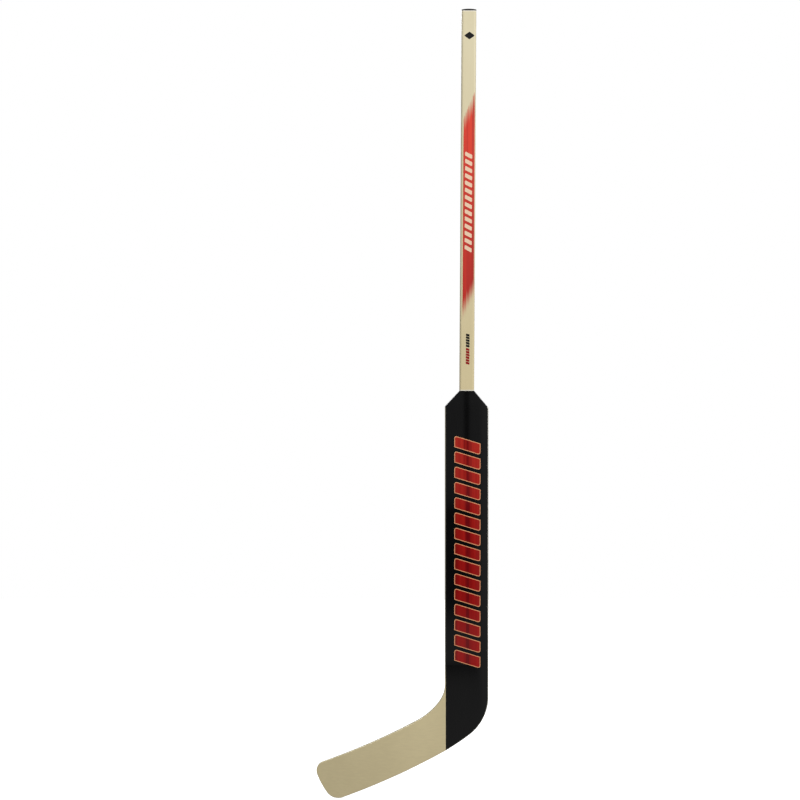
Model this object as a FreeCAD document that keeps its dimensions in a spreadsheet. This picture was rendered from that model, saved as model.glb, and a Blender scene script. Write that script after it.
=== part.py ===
import FreeCAD, Part

# Goaltender's ice hockey stick, in millimetres.
# Frame: +Z up the shaft to the butt end, +X to the heel side, +Y out of the back face.
# The origin is the centre of the blocker-hand grip, on the shaft just above the paddle.
# The paddle and the blade are a laminate: a core inside an edge band, with a skin on each face.
# Heights in the formulas count from the paddle's top line, where the shaft enters it.

import math
import os
import re

import Sketcher
from FreeCAD import Placement, Rotation, Vector

DIMENSIONS = [
    # alias, value, meaning
    ("grip_to_shoulder", 43.5, "origin down to the top line of the paddle"),
    ("shaft_width", 30.0, "shaft, across X"),
    ("shaft_depth", 20.0, "shaft, across Y"),
    ("shaft_corner", 4.0, "radius of the shaft's long corners"),
    ("shaft_length", 777.8, "top line of the paddle up to the butt cap"),
    ("shaft_lean", 0.34, "lean of the shaft to the heel side, degrees"),
    ("wrap_wall", 1.0, "glass wrap round the shaft"),
    ("tenon_length", 561.5, "shaft core inside the paddle"),
    ("cap_rim", 2.7, "butt cap, height of the straight rim"),
    ("cap_crown", 1.5, "butt cap, rise of the crown above the rim"),
    ("spigot_width", 5.0, "butt cap spigot, across X"),
    ("spigot_depth", 11.0, "butt cap spigot, across Y"),
    ("spigot_length", 16.0, "butt cap spigot, into the centre ply"),
    ("paddle_width", 89.0, "paddle, across X"),
    ("shoulder_toe_angle", 47.2, "slope of the toe-side shoulder, degrees"),
    ("shoulder_heel_angle", 49.9, "slope of the heel-side shoulder, degrees"),
    ("shoulder_toe_radius", 2.0, "toe-side shoulder corner"),
    ("shoulder_heel_radius", 8.0, "heel-side shoulder corner"),
    ("heel_start", 624.7, "top line down to the start of the heel"),
    ("heel_radius", 100.0, "round of the heel"),
    ("heel_turn", 53.1, "degrees"),
    ("sole_back_radius", 500.0, "sole between the heel and the blade"),
    ("sole_back_turn", 8.5, "degrees"),
    ("sole_radius", 1800.0, "rocker of the sole"),
    ("sole_turn", 6.9, "degrees"),
    ("toe_low_radius", 28.0, "lower corner of the toe"),
    ("toe_low_turn", 74.6, "degrees"),
    ("toe_end_radius", 150.0, "end of the toe"),
    ("toe_end_turn", 16.5, "degrees"),
    ("toe_top_radius", 20.0, "upper corner of the toe"),
    ("toe_top_turn", 89.7, "degrees"),
    ("blade_top_radius", 1700.0, "hollow of the blade's top edge"),
    ("throat_radius", 140.0, "hollow between the blade and the paddle"),
    ("throat_turn", 24.6, "degrees"),
    ("throat_top_radius", 60.0, "upper end of the throat"),
    ("paddle_depth", 24.0, "paddle at its thickest, across Y"),
    ("blade_depth", 15.0, "heel and straight part of the blade, across Y"),
    ("swell_radius", 200.0, "side profile where the shaft swells into the paddle"),
    ("taper_start", 221.5, "top line down to the start of the paddle's taper"),
    ("taper_end", 561.5, "top line down to the end of the paddle's taper"),
    ("taper_blend", 1500.0, "side profile radius at both ends of the taper"),
    ("stock_length", 901.5, "laminate stock, top line down, before trimming"),
    ("blade_slope", 25.0, "blade below the horizontal, degrees"),
    ("seam_sole", 737.5, "top line down to the start of the blade's bend, at the sole"),
    ("blade_stock", 300.0, "laminate stock, seam to toe, before trimming"),
    ("blade_root_stock", 150.0, "laminate stock behind the seam, before trimming"),
    ("front_bend", 1350.0, "bend radius of the blade's front face"),
    ("middle_bend", 1550.0, "bend radius where the blade's two skins are parted"),
    ("back_bend", 1800.0, "bend radius of the blade's back face"),
    ("skin_wall", 1.6, "laminate skin on the paddle and the blade"),
    ("skin_round", 1.3, "rounding of the skins' outer edges"),
    ("film_wall", 0.3, "black film on the paddle"),
    ("film_inset", 1.5, "edge left bare round the film"),
    ("band_width", 6.0, "edge band round the paddle and the blade"),
    ("shoulder_block_length", 61.5, "shoulder blocks, top line down"),
    ("rail_end", 604.5, "top line down to the start of the blade's top strip"),
    ("rail_tip", 20.0, "rail on the toe side, tip below the start of the heel"),
    ("toe_strip_start", 235.0, "seam to the toe strip, along the blade"),
    ("blade_middle", 40.0, "sole up to the middle of the blade, square to its slope"),
    ("blade_ply", 24.0, "middle ply of the blade, square to its slope"),
    ("tongue_length", 76.0, "tongue between the heel block and the blade"),
    ("tongue_height", 42.0, "tongue, square to the blade's slope"),
    ("tongue_depth", 4.0, "tongue, across Y"),
]
REACH = 1200.0          # cutting blocks run this far past the stick
PRISM_DEPTH = 200.0     # depth of the outlines' prisms, across Y
SHORTEST_ROUNDED = 0.5  # shorter edges of a skin stay sharp
PROBE = 1.2             # an outer edge has this much laminate behind it
STARTING_BELOW = 3.0    # the shaft's bars start below the top line and are cut back to it

size = {alias: value for alias, value, meaning in DIMENSIONS}
doc = FreeCAD.newDocument("goal_stick")
sheet = doc.addObject("Spreadsheet::Sheet", "sizes")
for row, (alias, value, meaning) in enumerate(DIMENSIONS, start=1):
    sheet.set(f"A{row}", meaning)
    sheet.set(f"B{row}", str(value))
    sheet.setAlias(f"B{row}", alias)
doc.recompute()

# A frame is a turn about +Y and the place of its origin.
UPRIGHT = ("0", "0", "-grip_to_shoulder")
SHAFT = ("shaft_lean", "0", "-grip_to_shoulder")
# In the blade's frame X runs along the blade to the toe and -Z rises square to the sole.
SEAM = "film_inset - paddle_width / 2"
BLADE = ("180 - blade_slope", SEAM, "-grip_to_shoulder - seam_sole")


# ---------------------------------------------------------------- sheet and placing

def cells(formula):
    """Point each alias in a formula at its cell in the sheet."""
    return re.sub(r"[a-z_]+", lambda word: f"sizes.{word[0]}" if word[0] in size else word[0], formula)


def bind(thing, formulas):
    for name, formula in formulas.items():
        thing.setExpression(name, cells(formula))
    return thing


def place(thing, frame, corner=("0", "0", "0")):
    """Turn a piece into a frame and put its own origin at a corner of that frame."""
    turn, origin_x, origin_z = frame
    x, y, z = corner
    thing.Placement = Placement(Vector(), Rotation(Vector(0, 1, 0), 10))
    return bind(thing, {
        "Placement.Rotation.Angle": f"({turn}) * 1 deg",
        "Placement.Base.x": f"{origin_x} + cos({turn}) * ({x}) + sin({turn}) * ({z})",
        "Placement.Base.y": y,
        "Placement.Base.z": f"{origin_z} - sin({turn}) * ({x}) + cos({turn}) * ({z})",
    })


# ---------------------------------------------------------------- sketches

def constrain(sketch, formula, *arguments):
    """Add a driving constraint and bind it to the sheet."""
    index = sketch.addConstraint(Sketcher.Constraint(*arguments))
    sketch.setExpression(f"Constraints[{index}]", cells(formula))


class Chain:
    """Lines and arcs drawn end to end in a sketch, each tangent to the one before it."""

    def __init__(self, sketch, start, heading):
        self.sketch = sketch
        self.point = Vector(start[0], start[1], 0)
        self.heading = math.radians(heading)
        self.tail = None

    def join(self, piece, start, end):
        if self.tail:
            self.sketch.addConstraint(Sketcher.Constraint("Tangent", *self.tail, piece, start))
        self.tail = (piece, end)
        return piece

    def line(self, length):
        end = self.point + Vector(math.cos(self.heading), math.sin(self.heading), 0) * length
        piece = self.sketch.addGeometry(Part.LineSegment(self.point, end), False)
        self.point = end
        return self.join(piece, 1, 2)

    def arc(self, radius_name, turn, turn_name=None, grow="0"):
        """Turn by some degrees, to the left if positive; grow is added to the radius."""
        radius = size[radius_name]
        side = math.copysign(1, turn)
        to_centre = Vector(-math.sin(self.heading), math.cos(self.heading), 0) * (radius * side)
        centre = self.point + to_centre
        first = self.heading - side * math.pi / 2
        last = first + math.radians(turn)
        circle = Part.Circle(centre, Vector(0, 0, 1), radius)
        span = (first, last) if side > 0 else (last, first)
        piece = self.sketch.addGeometry(Part.ArcOfCircle(circle, *span), False)
        self.point = centre + Vector(math.cos(last), math.sin(last), 0) * radius
        self.heading += math.radians(turn)
        self.join(piece, *((1, 2) if side > 0 else (2, 1)))
        constrain(self.sketch, f"{radius_name} + ({grow})", "Radius", piece, radius)
        if turn_name:
            constrain(self.sketch, turn_name, "Angle", piece, math.radians(abs(turn)))
        return piece


def bridge(sketch, start, end):
    """Close a gap between two corners, each a (piece, end) pair, with a straight line."""
    first, last = sketch.getPoint(*start), sketch.getPoint(*end)
    piece = sketch.addGeometry(Part.LineSegment(first, last), False)
    sketch.addConstraint(Sketcher.Constraint("Coincident", piece, 1, *start))
    sketch.addConstraint(Sketcher.Constraint("Coincident", piece, 2, *end))
    return piece


def new_sketch(name):
    return doc.addObject("Sketcher::SketchObject", name)


def draw_outline(name):
    """Front view of the paddle and blade, from the heel-side shoulder clockwise round."""
    sketch = new_sketch(name)
    sketch.Placement = Placement(Vector(), Rotation(Vector(1, 0, 0), 90))
    bind(sketch, {"Placement.Base.z": "-grip_to_shoulder"})
    half_shaft = size["shaft_width"] / 2
    half_paddle = size["paddle_width"] / 2
    slope_heel, slope_toe = size["shoulder_heel_angle"], size["shoulder_toe_angle"]
    run = (half_paddle - half_shaft) / math.cos(math.radians(slope_heel))

    chain = Chain(sketch, (half_shaft, 0), -slope_heel)
    shoulder = chain.line(run)
    chain.arc("shoulder_heel_radius", slope_heel - 90)
    heel_side = chain.line(size["heel_start"] + chain.point.y)
    for part in ("heel", "sole_back", "sole", "toe_low", "toe_end", "toe_top"):
        chain.arc(f"{part}_radius", -size[f"{part}_turn"], f"{part}_turn")
    chain.arc("blade_top_radius", 7.2)
    chain.arc("throat_radius", size["throat_turn"], "throat_turn")
    chain.arc("throat_top_radius", 90 - math.degrees(chain.heading) % 360)
    toe_side = chain.line(-chain.point.y - run)
    chain.arc("shoulder_toe_radius", slope_toe - 90)
    last_shoulder = chain.line(run)
    bridge(sketch, (last_shoulder, 2), (shoulder, 1))

    sketch.addConstraint(Sketcher.Constraint("PointOnObject", shoulder, 1, -1))
    sketch.addConstraint(Sketcher.Constraint("PointOnObject", last_shoulder, 2, -1))
    sketch.addConstraint(Sketcher.Constraint("Vertical", heel_side))
    sketch.addConstraint(Sketcher.Constraint("Vertical", toe_side))
    constrain(sketch, "shaft_width / 2", "DistanceX", shoulder, 1, half_shaft)
    constrain(sketch, "-shaft_width / 2", "DistanceX", last_shoulder, 2, -half_shaft)
    constrain(sketch, "-shoulder_heel_angle", "Angle", shoulder, -math.radians(slope_heel))
    constrain(sketch, "shoulder_toe_angle", "Angle", last_shoulder, math.radians(slope_toe))
    constrain(sketch, "paddle_width / 2", "DistanceX", heel_side, 1, half_paddle)
    constrain(sketch, "-paddle_width / 2", "DistanceX", toe_side, 1, -half_paddle)
    constrain(sketch, "-heel_start", "DistanceY", heel_side, 2, -size["heel_start"])
    return sketch


def draw_side_profile(name):
    """Side view of the paddle: the shaft's depth, a swell, a flat, a taper and the heel."""
    sketch = new_sketch(name)
    sketch.Placement = Placement(Vector(), Rotation(Vector(1, 1, 1), 120))
    bind(sketch, {"Placement.Base.z": "-grip_to_shoulder"})
    depths = ("shaft_depth", "paddle_depth", "blade_depth")
    half_shaft, half_paddle, half_heel = (size[depth] / 2 for depth in depths)
    swell = math.degrees(math.acos(1 - (half_paddle - half_shaft) / (2 * size["swell_radius"])))
    taper_run = size["taper_end"] - size["taper_start"]
    taper = math.degrees((half_paddle - half_heel) / taper_run)
    corners = []
    for side in (1, -1):
        chain = Chain(sketch, (side * half_shaft, size["grip_to_shoulder"]), -90)
        neck = chain.line(size["grip_to_shoulder"])
        chain.arc("swell_radius", side * swell)
        chain.arc("swell_radius", -side * swell)
        flat = chain.line(size["taper_start"] + chain.point.y)
        chain.arc("taper_blend", -side * taper)
        chain.line(taper_run - 2 * size["taper_blend"] * math.radians(taper))
        chain.arc("taper_blend", side * taper)
        heel = chain.line(size["stock_length"] + chain.point.y)
        for straight in (neck, flat, heel):
            sketch.addConstraint(Sketcher.Constraint("Vertical", straight))
        for straight, depth in ((neck, "shaft_depth"), (flat, "paddle_depth"), (heel, "blade_depth")):
            sign = "" if side > 0 else "-"
            constrain(sketch, f"{sign}{depth} / 2", "DistanceX", straight, 1, side * size[depth] / 2)
        constrain(sketch, "grip_to_shoulder", "DistanceY", neck, 1, size["grip_to_shoulder"])
        sketch.addConstraint(Sketcher.Constraint("PointOnObject", neck, 2, -1))
        constrain(sketch, "-taper_start", "DistanceY", flat, 2, -size["taper_start"])
        constrain(sketch, "-taper_end", "DistanceY", heel, 1, -size["taper_end"])
        constrain(sketch, "-stock_length", "DistanceY", heel, 2, -size["stock_length"])
        corners.append(((neck, 1), (heel, 2)))
    bridge(sketch, corners[0][0], corners[1][0])
    bridge(sketch, corners[0][1], corners[1][1])
    return sketch


def draw_blade_face(sketch, height_formula, height, bend_name):
    """Plan view of one face of the blade: straight to the seam, then bent to the toe."""
    chain = Chain(sketch, (-size["blade_root_stock"], height), 0)
    straight = chain.line(size["blade_root_stock"])
    reach = math.degrees(math.asin(size["blade_stock"] / size[bend_name]))
    bent = chain.arc(bend_name, reach)
    sketch.addConstraint(Sketcher.Constraint("Horizontal", straight))
    constrain(sketch, height_formula, "DistanceY", straight, 1, height)
    constrain(sketch, "-blade_root_stock", "DistanceX", straight, 1, -size["blade_root_stock"])
    sketch.addConstraint(Sketcher.Constraint("PointOnObject", straight, 2, -2))
    constrain(sketch, "blade_stock", "DistanceX", bent, 2, size["blade_stock"])
    return (straight, 1), (bent, 2)


def draw_blade_profile(name):
    sketch = new_sketch(name)
    half = size["blade_depth"] / 2
    front = draw_blade_face(sketch, "-blade_depth / 2", -half, "front_bend")
    back = draw_blade_face(sketch, "blade_depth / 2", half, "back_bend")
    bridge(sketch, front[0], back[0])
    bridge(sketch, front[1], back[1])
    return place(sketch, BLADE)


def draw_blade_front(name):
    """Everything in front of the surface that parts the blade's two skins."""
    sketch = new_sketch(name)
    root, toe = draw_blade_face(sketch, "0", 0.0, "middle_bend")
    clear = -size["paddle_width"]
    corners = []
    for end, across in ((root, -size["blade_root_stock"]), (toe, size["blade_stock"])):
        upright = Part.LineSegment(sketch.getPoint(*end), Vector(across, clear, 0))
        side = sketch.addGeometry(upright, False)
        sketch.addConstraint(Sketcher.Constraint("Coincident", side, 1, *end))
        sketch.addConstraint(Sketcher.Constraint("Vertical", side))
        constrain(sketch, "-paddle_width", "DistanceY", side, 2, clear)
        corners.append((side, 2))
    bridge(sketch, *corners)
    return place(sketch, BLADE)


# ---------------------------------------------------------------- solids and booleans

def inset(name, sketch, formula):
    """The sketch's wire, moved out by the formula, or in where it is negative."""
    wire = doc.addObject("Part::Offset2D", name)
    wire.Source = sketch
    wire.Join = "Intersection"
    wire.Value = -1
    return bind(wire, {"Value": formula})


def prism(name, wire, direction, depth=PRISM_DEPTH):
    solid = doc.addObject("Part::Extrusion", name)
    solid.Base = wire
    solid.DirMode = "Custom"
    solid.Dir = direction
    solid.LengthFwd = depth
    solid.Symmetric = True
    solid.Solid = True
    return solid


def block(name, x=(None, None), y=(None, None), z=(None, None), frame=UPRIGHT):
    """A box in a frame; an open side runs well past the stick."""
    low = [f"-{REACH}" if side[0] is None else side[0] for side in (x, y, z)]
    high = [f"{REACH}" if side[1] is None else side[1] for side in (x, y, z)]
    box = place(doc.addObject("Part::Box", name), frame, low)
    edges = zip(("Length", "Width", "Height"), high, low)
    return bind(box, {edge: f"({top}) - ({bottom})" for edge, top, bottom in edges})


def bar(name, grow, start, length):
    """A bar of the shaft's section, made larger all round by some formula."""
    body = place(doc.addObject("PartDesign::Body", name), SHAFT)
    sketch = body.newObject("Sketcher::SketchObject", f"{name}_section")
    level = next(item for item in body.Origin.OriginFeatures if item.Role == "XY_Plane")
    sketch.AttachmentSupport = [(level, "")]
    sketch.MapMode = "FlatFace"
    bind(sketch, {"AttachmentOffset.Base.z": start})
    straights = []
    chain = Chain(sketch, (size["shaft_corner"] - size["shaft_width"] / 2, -size["shaft_depth"] / 2), 0)
    for span in ("shaft_width", "shaft_depth") * 2:
        straights.append(chain.line(size[span] - 2 * size["shaft_corner"]))
        chain.arc("shaft_corner", 90, grow=grow)
    sketch.addConstraint(Sketcher.Constraint("Tangent", *chain.tail, straights[0], 1))
    bottom, right, top, left = straights
    for line, direction, distance, side, span in (
        (bottom, "Horizontal", "DistanceY", -1, "shaft_depth"),
        (right, "Vertical", "DistanceX", 1, "shaft_width"),
        (top, "Horizontal", "DistanceY", 1, "shaft_depth"),
        (left, "Vertical", "DistanceX", -1, "shaft_width"),
    ):
        sketch.addConstraint(Sketcher.Constraint(direction, line))
        constrain(sketch, f"{side} * ({span} / 2 + {grow})", distance, line, 1, side * size[span] / 2)
    pad = body.newObject("PartDesign::Pad", f"{name}_pad")
    pad.Profile = sketch
    bind(pad, {"Length": length})
    sketch.Visibility = False
    return body


def common(name, *pieces):
    result = doc.addObject("Part::MultiCommon", name)
    result.Shapes = list(pieces)
    return result


def fuse(name, *pieces):
    result = doc.addObject("Part::MultiFuse", name)
    result.Shapes = list(pieces)
    result.Refine = True
    return result


def cut(name, base, *tools):
    """Cut the tools out of the base one after another."""
    for count, tool in enumerate(tools, start=1):
        result = doc.addObject("Part::Cut", name if count == len(tools) else f"{name}_cut{count}")
        result.Base = base
        result.Tool = tool
        base = result
    return result


def join_at_seam(name, paddle_side, blade_side):
    """One solid: the first piece right of the blade's seam, and the second left of it."""
    return fuse(name, cut(f"{name}_paddle", paddle_side, blade_zone),
                common(f"{name}_blade", blade_side, blade_zone))


# ---------------------------------------------------------------- stock and cutting tools

ACROSS = Vector(0, 1, 0)
outline = draw_outline("outline")
side_profile = draw_side_profile("side_profile")
blade_profile = draw_blade_profile("blade_profile")
doc.recompute()

outline_prism = prism("outline_prism", outline, ACROSS)
inner_prism = prism("inner_prism", inset("inner_wire", outline, "-band_width"), ACROSS)
film_prism = prism("film_prism", inset("film_wire", outline, "-film_inset"), ACROSS)
band_prism = cut("band_prism", outline_prism, inner_prism)

ALONG_X = Vector(1, 0, 0)
slab = prism("slab", side_profile, ALONG_X)
core_slab = prism("core_slab", inset("core_profile", side_profile, "-skin_wall"), ALONG_X)
film_slab = prism("film_slab", inset("film_profile", side_profile, "film_wall"), ALONG_X)

slope = math.radians(size["blade_slope"])
SQUARE_TO_BLADE = Vector(math.sin(slope), 0, -math.cos(slope))
BLADE_PRISM = 500.0
blade_slab = prism("blade_slab", blade_profile, SQUARE_TO_BLADE, BLADE_PRISM)
blade_core_profile = inset("blade_core_profile", blade_profile, "-skin_wall")
blade_core_slab = prism("blade_core_slab", blade_core_profile, SQUARE_TO_BLADE, BLADE_PRISM)
blade_front_profile = draw_blade_front("blade_front_profile")
blade_front = prism("blade_front", blade_front_profile, SQUARE_TO_BLADE, BLADE_PRISM)

blade_zone = block("blade_zone", x=(None, SEAM), z=(None, "-rail_end"))
front = block("front", y=(None, "0"))

laminate = join_at_seam("laminate", slab, blade_slab)
core = join_at_seam("core", core_slab, blade_core_slab)
front_half = join_at_seam("front_half", front, blade_front)
toe_half = block("toe_half", x=(None, "0"))
heel_half = block("heel_half", x=("0", None))
below_top_line = block("below_top_line", z=(None, "0"))


# ---------------------------------------------------------------- shaft

INNER_WIDTH = "(shaft_width - 2 * wrap_wall)"
stringer = block("stringer", x=(f"-{INNER_WIDTH} / 2", f"{INNER_WIDTH} / 2"), frame=SHAFT)
spigot = block("spigot", frame=SHAFT, x=("-spigot_width / 2", "spigot_width / 2"),
               y=("-spigot_depth / 2", "spigot_depth / 2"),
               z=("shaft_length - spigot_length", "shaft_length"))


def build_shaft():
    """A glass wrap round three plies, which run on into the paddle as its stringer."""
    bar_length = f"shaft_length + {STARTING_BELOW}"
    outer = bar("outer_bar", "0", f"-{STARTING_BELOW}", bar_length)
    inner = bar("inner_bar", "-wrap_wall", f"-{STARTING_BELOW}", bar_length)
    pieces = {"shaft_wrap": cut("shaft_wrap", outer, inner, below_top_line)}

    tenon_zone = block("tenon_zone", z=("-tenon_length", "0"))
    shaft_core = cut("shaft_core", inner, below_top_line, spigot)
    core_stock = fuse("core_stock", shaft_core, common("tenon_stock", core_slab, tenon_zone))
    for step, side in enumerate(("toe_side", "centre", "heel_side")):
        edges = [f"{INNER_WIDTH} * ({count} / 3 - 0.5)" for count in (step, step + 1)]
        ply_block = block(f"ply_block_{side}", x=edges, frame=SHAFT)
        pieces[f"shaft_ply_{side}"] = common(f"shaft_ply_{side}", core_stock, ply_block)
    return pieces


def build_cap():
    """A crowned cap, as wide as the shaft, with a spigot in the centre ply."""
    rim = bar("cap_bar", "0", "shaft_length", "cap_rim + cap_crown")
    crown_radius = "((shaft_width / 2) ^ 2 + cap_crown ^ 2) / (2 * cap_crown)"
    crown = doc.addObject("Part::Sphere", "crown")
    place(crown, SHAFT, ("0", "0", f"shaft_length + cap_rim + cap_crown - ({crown_radius})"))
    bind(crown, {"Radius": crown_radius})
    return {"butt_end_cap": fuse("butt_end_cap", common("cap_head", rim, crown), spigot)}


# ---------------------------------------------------------------- paddle and heel

def build_paddle_core():
    """Shoulder blocks, foam each side of the stringer, and the heel block."""
    pieces = {}
    shoulder_zone = block("shoulder_zone", z=("-shoulder_block_length", "0"))
    foam_zone = block("foam_zone", z=("-tenon_length", "-shoulder_block_length"))
    heel_zone = block("heel_zone", z=(None, "-tenon_length"))
    shoulder_stock = common("shoulder_stock", outline_prism, core_slab, shoulder_zone)
    shoulders = cut("shoulders", shoulder_stock, stringer)
    foam = cut("foam", common("foam_stock", inner_prism, core_slab, foam_zone), stringer)
    for side, half in (("toe_side", toe_half), ("heel_side", heel_half)):
        pieces[f"shoulder_block_{side}"] = common(f"shoulder_block_{side}", shoulders, half)
        pieces[f"paddle_foam_{side}"] = common(f"paddle_foam_{side}", foam, half)
    heel_stock = common("heel_stock", inner_prism, core_slab, heel_zone)
    pieces["heel_block"] = cut("heel_block", heel_stock, blade_zone, tongue)
    return pieces


def build_paddle_edges():
    """Rails down both sides of the paddle and the strip round the heel."""
    band = cut("paddle_band", common("paddle_band_stock", band_prism, core_slab), blade_zone)
    toe_rail_zone = block("toe_rail_zone", x=(None, "0"),
                          z=("-heel_start - rail_tip", "-shoulder_block_length"))
    heel_rail_zone = block("heel_rail_zone", x=("0", None),
                           z=("-heel_start", "-shoulder_block_length"))
    below_rails = block("below_rails", z=(None, "-heel_start"))
    return {
        "paddle_rail_toe_side": common("paddle_rail_toe_side", band, toe_rail_zone),
        "paddle_rail_heel_side": common("paddle_rail_heel_side", band, heel_rail_zone),
        "heel_strip": cut("heel_strip", common("heel_strip_stock", band, below_rails), toe_rail_zone),
    }


def build_films():
    """The black film on each face of the paddle and heel."""
    films = cut("films", common("film_stock", film_prism, film_slab), blade_zone, slab)
    return {"paddle_front_film": common("paddle_front_film", films, front),
            "paddle_back_film": cut("paddle_back_film", films, front)}


# ---------------------------------------------------------------- blade

MIDDLE_AT_SEAM = "-blade_middle * tan(blade_slope)"
tongue = block("tongue", frame=BLADE,
               x=(f"{MIDDLE_AT_SEAM} - tongue_length / 2", f"{MIDDLE_AT_SEAM} + tongue_length / 2"),
               y=("-tongue_depth / 2", "tongue_depth / 2"),
               z=("-blade_middle - tongue_height / 2", "-blade_middle + tongue_height / 2"))


def build_blade_core():
    """Three plies along the blade, slotted for the tongue."""
    stock = common("blade_core_stock", inner_prism, blade_core_slab, blade_zone)
    slotted = cut("blade_core", stock, tongue)
    upper, lower = "-blade_middle - blade_ply / 2", "-blade_middle + blade_ply / 2"
    pieces = {"blade_tongue": tongue}
    for name, span in (("upper", (None, upper)), ("middle", (upper, lower)), ("lower", (lower, None))):
        ply_zone = block(f"blade_{name}_zone", z=span, frame=BLADE)
        pieces[f"blade_ply_{name}"] = common(f"blade_ply_{name}", slotted, ply_zone)
    return pieces


def build_blade_edges():
    """Strips along the top, round the toe and along the sole."""
    band = common("blade_band", band_prism, blade_core_slab, blade_zone)
    toe_zone = block("toe_zone", x=("toe_strip_start", None), frame=BLADE)
    top_zone = block("top_zone", x=(None, "toe_strip_start"), z=(None, "-blade_middle"), frame=BLADE)
    sole_zone = block("sole_zone", x=(None, "toe_strip_start"), z=("-blade_middle", None), frame=BLADE)
    return {f"blade_{name}_strip": common(f"blade_{name}_strip", band, zone)
            for name, zone in (("top", top_zone), ("toe", toe_zone), ("sole", sole_zone))}


# ---------------------------------------------------------------- skins

def build_skins():
    """A laminate skin on each face, from the shoulders to the toe."""
    skins = cut("skins", common("skin_stock", outline_prism, laminate), core)
    return {"front_skin": rounded(common("front_skin_stock", skins, front_half), -ACROSS),
            "back_skin": rounded(cut("back_skin_stock", skins, front_half), ACROSS)}


def rounded(skin, outward):
    """Round the edge where a skin's outer face meets the stick's outline."""
    doc.recompute()
    corners = []
    for index, edge in enumerate(skin.Shape.Edges, start=1):
        if edge.Length > SHORTEST_ROUNDED and is_outer_corner(skin, edge, outward):
            corners.append((index, size["skin_round"], size["skin_round"]))
    fillet = doc.addObject("Part::Fillet", f"{skin.Name}_rounded")
    fillet.Base = skin
    fillet.Edges = corners
    return fillet


def is_outer_corner(skin, edge, outward):
    """True for an edge that follows the outline and has the laminate behind it."""
    middle = edge.valueAt((edge.FirstParameter + edge.LastParameter) / 2)
    along = edge.tangentAt((edge.FirstParameter + edge.LastParameter) / 2)
    on_outline = outline.Shape.distToShape(Part.Vertex(middle.x, 0, middle.z))[0] < 0.01
    at_top_line = abs(middle.z + size["grip_to_shoulder"]) < 0.01
    laminate_behind = skin.Shape.common(Part.makeLine(middle, middle - outward * PROBE)).Length
    return on_outline and not at_top_line and abs(along.y) < 0.5 and laminate_behind > 0.9 * PROBE


# ---------------------------------------------------------------- assemble, check and write

def export(pieces):
    doc.recompute()
    for thing in doc.Objects:
        faults = {"Invalid", "Error"} & set(thing.State)
        if faults:
            raise RuntimeError(f"{thing.Name} failed to build: {faults}")
    os.makedirs("parts", exist_ok=True)
    for label, piece in pieces.items():
        piece.Label = label
        shape = piece.Shape
        if shape.isNull() or not shape.isValid() or len(shape.Solids) != 1:
            raise RuntimeError(f"{label} is not one valid solid")
        print(f"{label:26s} {shape.Volume / 1000:9.2f} cm3")
        shape.exportStep(f"parts/{label}.step")


subparts = {}
for build in (build_cap, build_shaft, build_paddle_core, build_paddle_edges, build_blade_core,
              build_blade_edges, build_skins, build_films):
    subparts.update(build())
export(subparts)
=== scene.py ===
import math

import bmesh
import bpy
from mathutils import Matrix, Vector
from mathutils.bvhtree import BVHTree


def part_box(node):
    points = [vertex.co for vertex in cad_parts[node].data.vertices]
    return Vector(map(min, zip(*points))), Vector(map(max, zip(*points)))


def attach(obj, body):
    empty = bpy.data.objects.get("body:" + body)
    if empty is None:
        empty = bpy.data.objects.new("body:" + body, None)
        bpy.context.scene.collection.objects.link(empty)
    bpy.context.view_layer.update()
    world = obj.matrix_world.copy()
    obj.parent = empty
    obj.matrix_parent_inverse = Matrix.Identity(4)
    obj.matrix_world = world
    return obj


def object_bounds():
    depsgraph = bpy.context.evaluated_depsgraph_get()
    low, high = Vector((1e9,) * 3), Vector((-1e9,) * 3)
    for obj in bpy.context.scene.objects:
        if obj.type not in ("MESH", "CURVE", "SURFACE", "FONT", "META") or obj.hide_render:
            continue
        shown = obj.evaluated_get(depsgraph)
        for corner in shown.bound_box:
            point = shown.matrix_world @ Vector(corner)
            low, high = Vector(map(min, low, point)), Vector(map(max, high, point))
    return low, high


# Goaltender's ice hockey stick: printed graphics, finishes, light and camera round the packed
# CAD frame. Metres; +Z up the shaft, +X to the heel side, -Y out of the front face.
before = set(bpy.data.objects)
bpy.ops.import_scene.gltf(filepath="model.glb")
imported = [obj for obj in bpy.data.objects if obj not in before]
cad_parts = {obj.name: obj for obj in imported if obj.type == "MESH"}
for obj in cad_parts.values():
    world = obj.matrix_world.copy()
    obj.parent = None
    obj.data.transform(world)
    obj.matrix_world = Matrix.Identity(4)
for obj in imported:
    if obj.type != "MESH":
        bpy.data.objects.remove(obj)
cad_low, cad_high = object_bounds()

MM = 0.001
FRONT, BACK = -1, 1                       # which way a face looks along Y

PADDLE_LOW, PADDLE_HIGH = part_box("paddle_front_film")
SHAFT_LOW, SHAFT_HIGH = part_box("shaft_wrap")
TOP_LINE = PADDLE_HIGH.z                  # top edge of the black film: heights count from here
BLADE_BORDER = PADDLE_LOW.x               # the film ends here, and the bare blade starts
SHAFT_LEAN = math.radians(0.34)           # the shaft leans this far to the heel side

BAR_SLOPE = math.tan(math.radians(17))    # the paddle's bars fall this much to the heel side
SHAFT_SLOPE = math.tan(math.radians(28))  # and the shaft's bars this much
LEAST_RADIUS = 0.3 * MM                   # no corner of a bar is sharper than this
LAYER = 0.07 * MM                         # each printed layer stands this far above the last
SUNK = 0.05 * MM                          # and its patches reach this far into the face
PADDLE_ROW = 6 * MM                       # patches on the tapered paddle are cut into rows
RAY_START = 0.2                           # a ray towards a face starts this far out


# ---------------------------------------------------------------- printed patches

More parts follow.
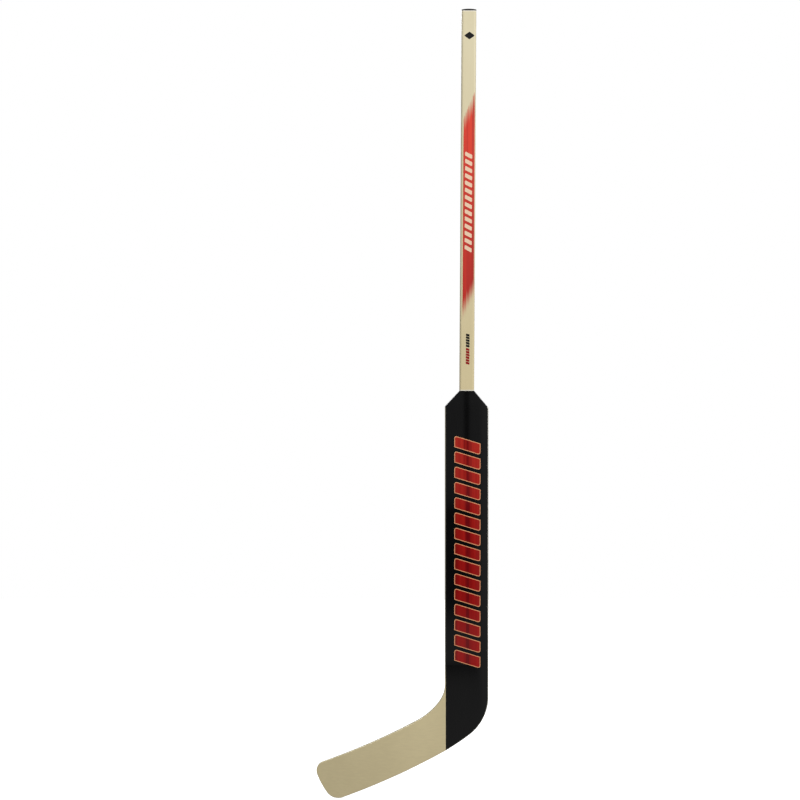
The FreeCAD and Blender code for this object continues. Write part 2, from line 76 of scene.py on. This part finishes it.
class Surface:
    """A CAD face that takes print: where it is, which way it looks and how far it leans."""

    def __init__(self, node, side, row=None, lean=0.0):
        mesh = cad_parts[node].data
        points = [v.co.copy() for v in mesh.vertices]
        self.tree = BVHTree.FromPolygons(points, [p.vertices[:] for p in mesh.polygons])
        self.side, self.row, self.lean = side, row, lean

    def height(self, x, z):
        """The face's Y at x, z, seen from outside."""
        start = Vector((x, self.side * RAY_START, z))
        return self.tree.ray_cast(start, Vector((0, -self.side, 0)))[0].y

    def flat(self, outlines):
        """One flat face for each outline, whose x and z are as seen from outside."""
        bm = bmesh.new()
        for outline in outlines:
            corners = [(-self.side * x + (z - TOP_LINE) * math.tan(self.lean), 0, z)
                       for x, z in outline]
            bm.faces.new([bm.verts.new(corner) for corner in corners])
        return bm


def cut(bm, point, normal):
    """Split every patch along a plane."""
    everything = bm.verts[:] + bm.edges[:] + bm.faces[:]
    bmesh.ops.bisect_plane(bm, geom=everything, plane_co=point, plane_no=normal)


def cut_rows(bm, step):
    """Split the patches into rows so that they can follow a curved face."""
    heights = [v.co.z for v in bm.verts]
    row = math.floor(min(heights) / step) + 1
    while row * step < max(heights):
        cut(bm, (0, 0, row * step), (0, 0, 1))
        row += 1


def cut_columns(bm, places, lean):
    """Split the patches along leaned upright lines."""
    for x in places:
        cut(bm, (x, 0, TOP_LINE), (math.cos(lean), 0, -math.sin(lean)))


def thicken(bm, depth, side):
    """Give the patches a depth, inwards."""
    grown = bmesh.ops.extrude_face_region(bm, geom=bm.faces[:], use_keep_orig=True)["geom"]
    for item in grown:
        if isinstance(item, bmesh.types.BMVert):
            item.co.y -= side * depth
    bmesh.ops.recalc_face_normals(bm, faces=bm.faces[:])


def put_in_order(bm):
    """Number corners, edges and faces by place, so that every run gives the same mesh."""
    for kind in (bm.verts, bm.edges, bm.faces):
        places = {}
        for item in kind:
            corners = getattr(item, "verts", [item])
            places[item] = [round(sum(v.co[i] for v in corners) / len(corners), 8)
                            for i in range(3)]
        for index, item in enumerate(sorted(kind, key=places.get)):
            item.index = index
        kind.sort()


def add_object(name, data):
    """Put a mesh, lamp or camera into the scene."""
    made = bpy.data.objects.new(name, data)
    bpy.context.scene.collection.objects.link(made)
    return made


def add_mesh(name, bm, material):
    """Put a finished bmesh into the scene."""
    mesh = bpy.data.meshes.new(name)
    bm.to_mesh(mesh)
    bm.free()
    mesh.materials.append(material)
    return add_object(name, mesh)


def printed(name, outlines, surface, layer, material, columns=()):
    """Thin solid patches lying on a CAD face, one for each outline."""
    bm = surface.flat(outlines)
    if surface.row:
        cut_rows(bm, surface.row)
    cut_columns(bm, columns, surface.lean)
    for v in bm.verts:
        v.co.y = surface.height(v.co.x, v.co.z) + surface.side * layer * LAYER
    thicken(bm, layer * LAYER + SUNK, surface.side)
    put_in_order(bm)
    piece = add_mesh(name, bm, material)
    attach(piece, "root")


def rounded(points, radii, steps=5):
    """Round each corner of an outline with its own radius."""
    outline = []
    for i, radius in enumerate(radii):
        corner = Vector(points[i])
        before = Vector(points[i - 1]) - corner
        after = Vector(points[(i + 1) % len(points)]) - corner
        reach = radius / math.tan(before.angle(after) / 2)
        start = corner + before.normalized() * reach
        end = corner + after.normalized() * reach
        for step in range(steps + 1):
            t = step / steps
            point = start * (1 - t) ** 2 + corner * 2 * t * (1 - t) + end * t ** 2
            outline.append((point.x, point.y))
    return outline


def slanted_bar(x, z, size, radii, slope=BAR_SLOPE, rim=0.0):
    """A bar with upright ends and slanted long edges, centred on x, z and drawn in by a rim."""
    width, height = size
    half_width = width / 2 - rim
    half_height = height / 2 - rim * math.hypot(1, slope)
    fall = slope * half_width
    corners = [
        (x - half_width, z + fall + half_height),
        (x + half_width, z - fall + half_height),
        (x + half_width, z - fall - half_height),
        (x - half_width, z + fall - half_height),
    ]
    large, small = (max(radius - rim, LEAST_RADIUS) for radius in radii)
    return rounded(corners, [large, small, large, small])


# ---------------------------------------------------------------- material nodes

class Nodes:
    """Short calls that add nodes to a tree."""

    def __init__(self, tree):
        self.tree = tree

    def put(self, socket, value):
        """Link an output to a socket, or set a plain value."""
        if isinstance(value, bpy.types.NodeSocket):
            self.tree.links.new(value, socket)
        else:
            socket.default_value = value

    def node(self, kind, inputs=None, **settings):
        made = self.tree.nodes.new(kind)
        for name, value in settings.items():
            setattr(made, name, value)
        for socket, value in (inputs or {}).items():
            self.put(made.inputs[socket], value)
        return made

    def math(self, operation, first, second=0.0, third=0.0, clamp=False):
        inputs = {0: first, 1: second, 2: third}
        return self.node("ShaderNodeMath", inputs, operation=operation, use_clamp=clamp).outputs[0]

    def largest(self, first, *others):
        for other in others:
            first = self.math("MAXIMUM", first, other)
        return first

    def between(self, value, low, high, to_low=0.0, to_high=1.0):
        """Map a value from one range to another, held at the ends."""
        return self.node("ShaderNodeMapRange", {
            "Value": value, "From Min": low, "From Max": high,
            "To Min": to_low, "To Max": to_high,
        }).outputs[0]


class Finish(Nodes):
    """A node material round one Principled shader."""

    def __init__(self, name, **constants):
        self.material = bpy.data.materials.new(name)
        self.material.use_nodes = True
        super().__init__(self.material.node_tree)
        self.surface = self.tree.nodes["Principled BSDF"]
        for socket, value in constants.items():
            self.surface.inputs[socket.replace("_", " ")].default_value = value
        self.place = self.node("ShaderNodeTexCoord").outputs["Object"]
        self.axes = self.node("ShaderNodeSeparateXYZ", {0: self.place}).outputs

    def noise(self, x, y, z, detail=3.0):
        """Noise with its own scale along each axis, in turns per metre."""
        place = self.node("ShaderNodeMapping", {"Vector": self.place, "Scale": (x, y, z)})
        return self.node("ShaderNodeTexNoise", {
            "Vector": place.outputs[0], "Scale": 1.0, "Detail": detail, "Roughness": 0.5,
        }).outputs["Fac"]

    def varied(self, noise, low, high):
        """Spread a noise, which stays mostly between 0.3 and 0.7, from one value to another."""
        return self.between(noise, 0.3, 0.7, low, high)

    def mix(self, share, first, second, blend="MIX"):
        made = self.node("ShaderNodeMix", {0: share}, data_type="RGBA", blend_type=blend)
        for socket, colour in ((made.inputs[6], first), (made.inputs[7], second)):
            self.put(socket, colour if isinstance(colour, bpy.types.NodeSocket) else (*colour, 1.0))
        return made.outputs[2]

    def bump(self, height, distance, under=None):
        inputs = {"Height": height, "Distance": distance, "Strength": 1.0}
        if under is not None:
            inputs["Normal"] = under
        return self.node("ShaderNodeBump", inputs).outputs[0]

    def finish(self, colour, roughness, normal=None, coat_normal=None):
        """Link what was worked out to the shader, and hand over the material."""
        for socket, value in (("Base Color", colour), ("Roughness", roughness),
                              ("Normal", normal), ("Coat Normal", coat_normal)):
            if value is not None:
                self.put(self.surface.inputs[socket], value)
        return self.material


# ---------------------------------------------------------------- lacquer, wood, rubber, foam

# Each colour comes with its darker shade.
CREAM = (0.82, 0.735, 0.492), (0.78, 0.695, 0.456)
WARM = (0.822, 0.696, 0.406), (0.782, 0.66, 0.376)       # darker, warmer cream: painted shade down the shaft where less light falls; also the edges' paint
TAN = (0.83, 0.71, 0.42), (0.77, 0.655, 0.385)
SHADED_TOE_EDGE = (0.22, 0.205, 0.16), (0.17, 0.16, 0.125)      # painted shade along the paddle's toe-side edge, away from the key light
LIT_HEEL_EDGE = (0.9, 0.87, 0.78), (0.85, 0.82, 0.72)        # painted highlight along its heel-side edge, towards the key light
# painted shade: the blade's top, toe and sole strips, darker than the face to stand in for shade
# along the blade's edges
SHADED_TAN_EDGE = (0.42, 0.385, 0.26), (0.36, 0.33, 0.22)
ASPEN = (0.72, 0.58, 0.36), (0.6, 0.45, 0.26)
BIRCH = (0.66, 0.47, 0.26), (0.5, 0.33, 0.17)

BEVEL_HIGHLIGHT = (0.9, 0.86, 0.73)                  # painted highlight: a pale line standing in for light on the bevel at both ends of the shaft
BLACK = (0.0016, 0.0016, 0.0018)
RUBBER, DUST = (0.014, 0.013, 0.012), (0.032, 0.029, 0.026)
FOAM, FOAM_WALL, FOAM_PATCH = (0.42, 0.33, 0.17), (0.66, 0.56, 0.36), (0.5, 0.38, 0.2)

DIPPED = TOP_LINE - 32 * MM               # above this line the paddle's edges are black too
HEEL_START = (-0.66, -0.62)               # the heel-side painted highlight ends over these heights
BLADE_START = (-0.560, -0.600)            # and the bare blade starts over these
LENGTHWISE = (420, 420, 9)                # streaks along the shaft, in turns per metre
GLAZE = {"IOR": 1.5, "Coat_Weight": 0.6, "Coat_Roughness": 0.12, "Coat_IOR": 1.5}


def weave(shader, pitch):
    """Height of a plain glass weave: two crossed sets of ridges."""
    ridges = [shader.math("ABSOLUTE", shader.math(
        "SINE", shader.math("MULTIPLY", shader.axes[axis], math.pi / pitch))) for axis in "XZ"]
    return shader.math("MULTIPLY", *ridges)


def lacquer(shader, pair, streaks=LENGTHWISE):
    """Painted glass: faint streaks and mottling between a colour and its shade."""
    light, shade = pair
    streak = shader.noise(*streaks, detail=4.0)
    mottle = shader.noise(14, 14, 9, detail=2.0)
    amount = shader.between(shader.math("ADD", streak, mottle), 0.75, 1.3)
    return shader.mix(amount, shade, light)


def cream(shader):
    """The shaft's cream with painted light: paler and cooler towards the butt end, darker and
    warmer towards the paddle where less light reaches it.
    """
    down = shader.between(shader.axes["Z"], TOP_LINE + 0.7, TOP_LINE + 0.05)
    return shader.mix(down, lacquer(shader, CREAM), lacquer(shader, WARM))


def dipped(shader, colour):
    """Black over the shoulders, down to a line just under them."""
    blur = 0.3 * MM
    share = shader.between(shader.axes["Z"], DIPPED - blur, DIPPED + blur)
    return shader.mix(share, colour, BLACK)


def cream_lacquer(name):
    """Clear-coated cream over the shaft's weave, with a painted highlight at each end where the
    bevel would catch the light.
    """
    shader = Finish(name, **GLAZE)
    height = shader.axes["Z"]
    # painted highlights: pale lines standing in for light on the bevels at both ends
    foot_highlight = shader.between(height, SHAFT_LOW.z + 2.2 * MM, SHAFT_LOW.z + 1.6 * MM)
    top_highlight = shader.between(height, SHAFT_HIGH.z - 2.0 * MM, SHAFT_HIGH.z - 1.5 * MM)
    colour = shader.mix(shader.largest(foot_highlight, top_highlight), cream(shader), BEVEL_HIGHLIGHT)
    roughness = shader.varied(shader.noise(900, 900, 200), 0.34, 0.46)
    cloth = shader.bump(weave(shader, 2.2 * MM), 0.012 * MM)
    wavy = shader.bump(shader.noise(260, 260, 40), 0.02 * MM)
    return shader.finish(colour, roughness, cloth, wavy)


def skin_lacquer(name):
    """The skins: a thin edge round the black film, bare tan on the blade. The edge carries painted
    shade on the toe side and a painted highlight on the heel side.
    """
    shader = Finish(name, IOR=1.5, Specular_IOR_Level=0.35,
                    Coat_Weight=0.25, Coat_Roughness=0.18, Coat_IOR=1.5)
    x, z = shader.axes["X"], shader.axes["Z"]
    # painted shade along the toe-side edge, painted highlight along the heel-side edge
    heel_side = shader.between(x, -1 * MM, 1 * MM)
    above_heel = shader.between(z, *(TOP_LINE + height for height in HEEL_START))
    edge = shader.mix(shader.math("MULTIPLY", heel_side, above_heel),
                      lacquer(shader, SHADED_TOE_EDGE), lacquer(shader, LIT_HEEL_EDGE))
    past_border = shader.between(x, BLADE_BORDER + 0.6 * MM, BLADE_BORDER - 0.2 * MM)
    below_throat = shader.between(z, *(TOP_LINE + height for height in BLADE_START))
    colour = shader.mix(shader.math("MULTIPLY", past_border, below_throat),
                        dipped(shader, edge), lacquer(shader, TAN, (60, 400, 300)))
    roughness = shader.varied(shader.noise(700, 700, 700), 0.38, 0.52)
    cloth = shader.bump(weave(shader, 2.6 * MM), 0.02 * MM)
    wavy = shader.bump(shader.noise(160, 160, 160), 0.02 * MM)
    return shader.finish(colour, roughness, cloth, wavy)


def wood(name, pair, ring):
    """Straight-grained wood: growth rings in waves along the grain, with short pores."""
    light, dark = pair
    shader = Finish(name, IOR=1.5, Coat_Weight=0.0, Coat_Roughness=0.25)
    across = shader.math("MULTIPLY_ADD", shader.noise(9, 9, 2.5), 0.02, shader.axes["X"])
    rings = shader.math("SINE", shader.math("MULTIPLY", across, 2 * math.pi / ring))
    pores = shader.noise(2600, 2600, 60, detail=2.0)
    grain = shader.math("MULTIPLY_ADD", pores, 0.9, shader.math("MULTIPLY", rings, 0.25))
    colour = shader.mix(shader.between(grain, 0.1, 0.8), light, dark)
    return shader.finish(colour, shader.varied(pores, 0.55, 0.7), shader.bump(grain, 0.03 * MM))


def painted_edge(name, pair):
    """Wood edge band under thin paint: the grain still reads through."""
    light, shade = pair
    shader = Finish(name, IOR=1.5, Specular_IOR_Level=0.3,
                    Coat_Weight=0.1, Coat_Roughness=0.25, Coat_IOR=1.5)
    grain = shader.noise(1300, 1300, 25, detail=4.0)
    colour = dipped(shader, shader.mix(shader.between(grain, 0.35, 0.65), shade, light))
    return shader.finish(colour, shader.varied(grain, 0.5, 0.38), shader.bump(grain, 0.03 * MM))


def rubber(name):
    """Matt rubber with a fine grain and dust."""
    shader = Finish(name, IOR=1.45, Specular_IOR_Level=0.25)
    grain = shader.noise(2200, 2200, 2200, detail=2.0)
    dust = shader.noise(160, 160, 160, detail=5.0)
    colour = shader.mix(shader.between(dust, 0.45, 0.75), RUBBER, DUST)
    return shader.finish(colour, shader.varied(grain, 0.55, 0.75), shader.bump(grain, 0.06 * MM))


def foam(name):
    """Rigid foam: small cells, paler at their walls, in faint patches."""
    shader = Finish(name, IOR=1.4)
    voronoi = shader.node("ShaderNodeTexVoronoi", {"Vector": shader.place, "Scale": 650.0})
    cells = voronoi.outputs["Distance"]
    colour = shader.mix(shader.between(cells, 0.1, 0.6), FOAM, FOAM_WALL)
    colour = shader.mix(shader.varied(shader.noise(40, 40, 40), 0.0, 0.25), colour, FOAM_PATCH)
    roughness = shader.between(cells, 0.0, 0.6, 0.95, 0.75)
    return shader.finish(colour, roughness, shader.bump(cells, 0.3 * MM))


# ---------------------------------------------------------------- black film and print on it

CROWN = 1.0                               # radius of the faint crown across the paddle
FILM, FILM_HAZE = (0.0006, 0.0006, 0.0007), (0.0012, 0.0012, 0.0013)
FILM_SCRATCH = (0.007, 0.007, 0.007)

RED_DARK_REFLECTION = (0.175, 0.0, 0.003)          # crimson along the middle: painted reflection of a dark gap in the gloss
RED_SIDE = (0.43, 0.0075, 0.006)
RED_SHADED_TOE = (0.26, 0.004, 0.0035)           # painted shade: darker next to the toe side
RED_LIT_UPPER = (0.63, 0.031, 0.013)          # painted light: brighter and warmer up the paddle
RED_STREAK = (0.8, 0.6, 0.6)              # multiplies the red in streaks
GOLD, GOLD_PALE = (1.0, 0.36, 0.15), (1.0, 0.47, 0.235)

CLEAR_COAT = {"Coat_Weight": 0.85, "Coat_Roughness": 0.05, "Coat_IOR": 1.45}


def gloss(shader):
    """Faint crown, slow waviness and orange peel of a clear coat over a laminate."""
    across = shader.axes["X"]
    arch = shader.math("MULTIPLY", shader.math("MULTIPLY", across, across), -0.5 / CROWN)
    crown = shader.bump(arch, 1.0)
    wave = shader.bump(shader.noise(30, 30, 7, detail=1.0), 0.03 * MM, crown)
    return shader.bump(shader.noise(700, 700, 500, detail=1.0), 0.002 * MM, wave)


def black_film(name):
    """Glossy black with a little haze and fine lengthwise scratches."""
    shader = Finish(name, IOR=1.5, Specular_IOR_Level=0.1, **CLEAR_COAT)
    haze = shader.noise(60, 60, 12, detail=4.0)
    scratches = shader.noise(2400, 2400, 22, detail=1.0)
    scuffed = shader.between(scratches, 0.66, 0.74)
    colour = shader.mix(shader.between(haze, 0.35, 0.7), FILM, FILM_HAZE)
    colour = shader.mix(shader.math("MULTIPLY", scuffed, 0.35), colour, FILM_SCRATCH)
    roughness = shader.math("MULTIPLY_ADD", scuffed, 0.2, 0.3)
    return shader.finish(colour, roughness, gloss(shader), gloss(shader))


def print_red(name):
    """Translucent red in lengthwise streaks, with painted reflection and shade: a crimson middle
    stands in for a dark reflection in the gloss, brighter and warmer up the paddle is painted
    light, darker next to the toe side is painted shade.
    """
    shader = Finish(name, IOR=1.5, Specular_IOR_Level=0.1, **CLEAR_COAT)
    x, z = shader.axes["X"], shader.axes["Z"]
    streak = shader.noise(260, 260, 6)
    drift = shader.math("MULTIPLY_ADD", shader.math("SUBTRACT", streak, 0.5), 14 * MM, x)
    off_middle = shader.math("ABSOLUTE", shader.math("SUBTRACT", drift, 2 * MM))
    # painted shade next to the toe side, painted light up the paddle, painted dark reflection along
    # the middle
    sides = shader.mix(shader.between(x, -16 * MM, -22 * MM), RED_SIDE, RED_SHADED_TOE)
    up = shader.between(z, TOP_LINE - 0.35, TOP_LINE - 0.09, 0.0, 0.6)
    sides = shader.mix(up, sides, RED_LIT_UPPER)
    tone = shader.between(shader.noise(170, 170, 4, detail=2.0), 0.36, 0.6)
    sides = shader.mix(tone, sides, RED_STREAK, "MULTIPLY")
    colour = shader.mix(shader.between(off_middle, 1.5 * MM, 7.5 * MM), RED_DARK_REFLECTION, sides)
    return shader.finish(colour, shader.varied(streak, 0.3, 0.42), gloss(shader), gloss(shader))


def print_gold(name):
    """Metallic gold ink with fine flakes, under the clear coat."""
    shader = Finish(name, IOR=1.5, **CLEAR_COAT)
    flakes = shader.noise(3000, 3000, 3000, detail=1.0)
    colour = shader.mix(shader.between(flakes, 0.35, 0.65), GOLD, GOLD_PALE)
    return shader.finish(colour, shader.varied(flakes, 0.32, 0.45), gloss(shader), gloss(shader))


# ---------------------------------------------------------------- the shaft's band, and inks

BAND_WIDTH = 23.0 * MM
BAND_MIDDLE = 1.5 * MM                    # the band's middle lies to the heel side of the shaft's
BAND_TOP = (562 * MM, 617 * MM)           # tips of the upper fade, toe side and heel side
BAND_BOTTOM = (138 * MM, 186 * MM)        # and of the lower fade, above the top line too
TOP_FADE, BOTTOM_FADE = 48 * MM, 42 * MM  # lengths over which the print turns to red
BAND_COLUMNS = [x * MM for x in (-12.6, -12, -11.5, -11, 11, 11.5, 12, 12.6)]

BAND_UPPER, BAND_LOWER = (0.86, 0.046, 0.015), (0.63, 0.02, 0.007)
BAND_STREAK = (0.8, 0.62, 0.7)            # multiplies the red in streaks
BAND_SIDE = (0.78, 0.75, 0.7)             # and along the band's sides
BAND_THIN = (0.68, 0.32, 0.2)             # the print where it starts to cover the cream

CREAM_INK = (0.99, 0.74, 0.53), (0.95, 0.66, 0.46)
BLACK_INK = (0.0035, 0.003, 0.0028), (0.002, 0.0018, 0.0015)
RED_INK = (0.36, 0.008, 0.008), (0.3, 0.006, 0.006)


def fade_of(shader, side, tips, length):
    """0 at a slanted end of the band, 1 at full red; a negative length fades upwards."""
    low, high = tips
    slope = (high - low) / BAND_WIDTH
    middle = TOP_LINE + (low + high) / 2
    line = shader.math("MULTIPLY_ADD", shader.axes["X"], -side * slope, middle)
    return shader.math("DIVIDE", shader.math("SUBTRACT", line, shader.axes["Z"]), length)


def band_red(name, side):
    """Red that fades into the cream at both ends in lengthwise streaks."""
    shader = Finish(name, **GLAZE)
    x, z = shader.axes["X"], shader.axes["Z"]
    depth = shader.math("MINIMUM", fade_of(shader, side, BAND_TOP, TOP_FADE),
                        fade_of(shader, side, BAND_BOTTOM, -BOTTOM_FADE))
    streak = shader.math("SUBTRACT", shader.noise(520, 520, 10, detail=2.0), 0.5)
    cover = shader.between(shader.math("MULTIPLY_ADD", streak, 1.1, depth), 0.0, 1.0)
    down = shader.between(z, TOP_LINE + 0.50, TOP_LINE + 0.20)
    full = shader.mix(down, BAND_UPPER, BAND_LOWER)
    tone = shader.between(shader.noise(230, 230, 3, detail=1.0), 0.38, 0.62)
    full = shader.mix(tone, full, BAND_STREAK, "MULTIPLY")
    off_middle = shader.math("ABSOLUTE", shader.math("ADD", x, side * BAND_MIDDLE))
    at_side = shader.between(off_middle, 8 * MM, 11 * MM)
    full = shader.mix(at_side, full, BAND_SIDE, "MULTIPLY")
    thin = shader.mix(cover, cream(shader), BAND_THIN)
    colour = shader.mix(shader.between(cover, 0.25, 1.0), thin, full)
    roughness = shader.varied(shader.noise(900, 900, 200), 0.34, 0.46)
    return shader.finish(colour, roughness, shader.bump(shader.noise(260, 260, 40), 0.02 * MM))


def ink(name, pair):
    """Plain screen-printed ink with uneven cover."""
    light, dark = pair
    shader = Finish(name, IOR=1.5, Specular_IOR_Level=0.2,
                    Coat_Weight=0.15, Coat_Roughness=0.2, Coat_IOR=1.5)
    cover = shader.noise(1500, 1500, 700)
    colour = shader.mix(shader.between(cover, 0.35, 0.65), dark, light)
    return shader.finish(colour, shader.varied(cover, 0.36, 0.48), shader.bump(cover, 0.008 * MM))


# ---------------------------------------------------------------- graphics

GOLD_RIM = 1.4 * MM                       # the gold shows this far round the paddle's bars


def paddle_bars(rim=0.0):
    """Slanted bars down the paddle."""
    count, pitch = 15, 31.2 * MM
    middle, first = 1.05 * MM, TOP_LINE - 110 * MM
    size, radii = (53.3 * MM, 23.5 * MM), (5 * MM, 0.8 * MM)
    return [slanted_bar(middle, first - i * pitch, size, radii, rim=rim) for i in range(count)]


def comb(tips, notch):
    """One slanted end of the band, a row of teeth from the toe side to the heel side."""
    count = 8
    width = BAND_WIDTH / count
    line = []
    for i in range(count):
        left = i * width - BAND_WIDTH / 2
        tip = tips[0] + (tips[1] - tips[0]) * (i + 0.5) / count
        line += [(left, tip + notch),
                 (left + 0.35 * width, tip + 0.3 * notch),
                 (left + 0.6 * width, tip)]
    line.append((BAND_WIDTH / 2, tips[1] + notch))
    return line


def band_outline():
    """The red band, with a comb at both slanted ends."""
    notch = 10 * MM
    upper = comb(BAND_TOP, -notch)
    lower = [(-x, z) for x, z in comb(BAND_BOTTOM[::-1], notch)]
    return [(BAND_MIDDLE + x, TOP_LINE + z) for x, z in upper + lower]


def shaft_bars():
    """Cream slanted bars on the red band."""
    count, pitch = 14, 14.7 * MM
    middle, first = 0.9 * MM, TOP_LINE + 292 * MM
    size, radii = (14.6 * MM, 8.6 * MM), (2.0 * MM, 0.5 * MM)
    return [slanted_bar(middle, first + i * pitch, size, radii, SHAFT_SLOPE)
            for i in range(count)]


def dashes(start, count):
    """A short row of plain dashes."""
    pitch, middle = 5.6 * MM, 1.2 * MM
    size, radii = (7.4 * MM, 4.7 * MM), (1.0 * MM, 0.4 * MM)
    return [slanted_bar(middle, TOP_LINE + start + i * pitch, size, radii) for i in range(count)]


def lozenge():
    """A plain lozenge below the butt end."""
    x, z = 1.0 * MM, TOP_LINE + 728 * MM
    half_width, half_height = 11 * MM, 8 * MM
    corners = [(x, z + half_height), (x + half_width, z),
               (x, z - half_height), (x - half_width, z)]
    return rounded(corners, [1.5 * MM] * 4)


# ---------------------------------------------------------------- put together

def dress(nodes, material):
    """Give CAD nodes their material."""
    for name in nodes:
        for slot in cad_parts[name].material_slots:
            slot.material = material


def finish_cad():
    dress(["butt_end_cap"], rubber("rubber"))
    dress(["shaft_wrap"], cream_lacquer("cream_lacquer"))
    dress(["front_skin", "back_skin"], skin_lacquer("skin_lacquer"))
    dress(["paddle_front_film", "paddle_back_film"], black_film("black_film"))
    dress(["shaft_ply_toe_side", "shaft_ply_heel_side", "heel_block",
           "blade_ply_upper", "blade_ply_lower"], wood("aspen", ASPEN, 16 * MM))
    dress(["shaft_ply_centre", "blade_ply_middle", "blade_tongue"],
          wood("birch", BIRCH, 9 * MM))
    dress(["paddle_foam_toe_side", "paddle_foam_heel_side"], foam("foam"))
    dress(["shoulder_block_toe_side", "shoulder_block_heel_side", "paddle_rail_toe_side",
           "paddle_rail_heel_side", "heel_strip"], painted_edge("cream_edge", WARM))
    # the blade's strips get painted shade
    dress(["blade_top_strip", "blade_toe_strip", "blade_sole_strip"],
          painted_edge("tan_edge_painted_shade", SHADED_TAN_EDGE))


def print_graphics():
    red, gold = print_red("print_red"), print_gold("print_gold")
    cream_ink, black_ink = ink("cream_ink", CREAM_INK), ink("black_ink", BLACK_INK)
    red_ink = ink("red_ink", RED_INK)
    for side, word in ((FRONT, "front"), (BACK, "back")):
        film = Surface(f"paddle_{word}_film", side, row=PADDLE_ROW)
        shaft = Surface("shaft_wrap", side, lean=SHAFT_LEAN)
        band = band_red(f"band_red_{word}", side)
        printed(f"paddle_bar_outlines_{word}", paddle_bars(), film, 1, gold)
        printed(f"paddle_bars_{word}", paddle_bars(GOLD_RIM), film, 2, red)
        printed(f"shaft_band_{word}", [band_outline()], shaft, 1, band,
                BAND_COLUMNS)
        printed(f"shaft_bars_{word}", shaft_bars(), shaft, 2, cream_ink)
        printed(f"shaft_lozenge_{word}", [lozenge()], shaft, 1, black_ink)
        printed(f"shaft_dashes_black_{word}", dashes(93 * MM, 5), shaft, 1, black_ink)
        printed(f"shaft_dashes_red_{word}", dashes(58 * MM, 6), shaft, 1, red_ink)


# ---------------------------------------------------------------- light, floor, camera

AMBIENT = 0.28                            # soft light from all round
WHITE = (1.0, 1.0, 1.0, 1.0)

# Dim panels that only gloss sees. Each has the two directions between which it starts, and its
# strength at them. A direction is a ray's Z, or its X for each unit of depth ("aside").
UPPER_PANEL = (-0.085, -0.035, 0.004, 0.21)
RIGHT_PANEL = (0.06, 0.11, 0.0, 0.34)
LOWER_PANEL = (-0.133, -0.143, 0.0, 0.27)
LOWEST_PANEL = (-0.155, -0.22, 0.0, 0.1)
LEFT_WALL = (-0.15, -0.3, 0.0, 0.32)
RIGHT_WALL = (0.3, 0.5, 0.0, 0.42)

# A dark upright gap in the upper panel: how much of the panel is left in it, and its edges.
GAP_STRENGTH = 0.05
LEFT_OF_GAP = (0.018, 0.026, 1.0, 0.0)
RIGHT_OF_GAP = (0.042, 0.05, 0.0, 1.0)
BELOW_GAP = (-0.05, -0.03, 1.0, 0.0)


def area_light(name, place, aim, size, power):
    lamp = bpy.data.lights.new(name, "AREA")
    lamp.shape = "DISK"
    lamp.size = size
    lamp.energy = power
    holder = add_object(name, lamp)
    holder.location = place
    towards = Vector(aim) - Vector(place)
    holder.rotation_euler = towards.to_track_quat("-Z", "Y").to_euler()


def studio():
    area_light("key", (1.6, -3.0, 2.4), (0, 0, 0.1), 1.2, 116)
    area_light("back_key", (-1.8, 2.8, 2.0), (0, 0, 0.0), 1.4, 80)


def gloss_panels(sky):
    """What gloss sees of the studio, by direction."""
    direction = sky.node("ShaderNodeTexCoord").outputs["Generated"]
    x, y, z = sky.node("ShaderNodeSeparateXYZ", {0: direction}).outputs
    depth = sky.math("MAXIMUM", sky.math("ABSOLUTE", y), 0.01)
    aside = sky.math("DIVIDE", x, depth)
    beside_gap = sky.largest(sky.between(aside, *LEFT_OF_GAP), sky.between(aside, *RIGHT_OF_GAP),
                             sky.between(z, *BELOW_GAP))
    upper = sky.math("MULTIPLY", sky.between(z, *UPPER_PANEL),
                     sky.between(beside_gap, 0.0, 1.0, GAP_STRENGTH, 1.0))
    lower = sky.math("ADD", sky.between(z, *LOWER_PANEL), sky.between(z, *LOWEST_PANEL))
    walls = sky.math("ADD", sky.between(aside, *LEFT_WALL), sky.between(aside, *RIGHT_WALL))
    return sky.largest(upper, sky.between(aside, *RIGHT_PANEL), lower, walls)


def surroundings():
    """White to the eye, soft and even for diffuse light, dim panels for gloss."""
    world = bpy.data.worlds.new("surroundings")
    bpy.context.scene.world = world
    world.use_nodes = True
    sky = Nodes(world.node_tree)
    path = sky.node("ShaderNodeLightPath").outputs
    seen, diffuse = path["Is Camera Ray"], path["Is Diffuse Ray"]
    level = sky.math("MAXIMUM", seen, sky.math("MULTIPLY", diffuse, AMBIENT))
    other = sky.math("SUBTRACT", 1.0, sky.math("ADD", seen, diffuse), clamp=True)
    background = sky.tree.nodes["Background"].inputs
    sky.put(background["Strength"], sky.math("MULTIPLY_ADD", other, gloss_panels(sky), level))
    sky.put(background["Color"], WHITE)


def floor():
    """A plain pale floor just under the sole, with a faintly mottled matt surface."""
    half_width, half_depth, middle_y = 3.5, 2.2, 1.8
    bm = bmesh.new()
    bmesh.ops.create_grid(bm, x_segments=24, y_segments=24, size=1.0)
    bmesh.ops.scale(bm, vec=(half_width, half_depth, 1.0), verts=bm.verts[:])
    bmesh.ops.translate(bm, vec=(0, middle_y, cad_low.z), verts=bm.verts[:])
    shader = Finish("floor", Specular_IOR_Level=0.1, Emission_Strength=0.8, Emission_Color=WHITE)
    speckle = shader.noise(60, 60, 60, detail=4.0)
    colour = shader.mix(shader.varied(speckle, 0.0, 1.0), (0.88, 0.88, 0.87), (0.9, 0.9, 0.9))
    piece = add_mesh("floor", bm, shader.finish(colour, shader.varied(speckle, 0.8, 0.9)))
    piece.visible_diffuse = False
    piece.visible_glossy = False


def camera():
    """Four metres in front, level, aimed straight at the stick."""
    data = bpy.data.cameras.new("camera")
    data.sensor_width = 36.0
    data.lens = 87.8
    holder = add_object("camera", data)
    holder.location = (-0.1367, -4.0, -0.0624)
    holder.rotation_euler = (math.radians(90), 0, 0)
    bpy.context.scene.camera = holder


finish_cad()
print_graphics()
studio()
surroundings()
floor()
camera()
bpy.context.scene.view_settings.view_transform = "Standard"
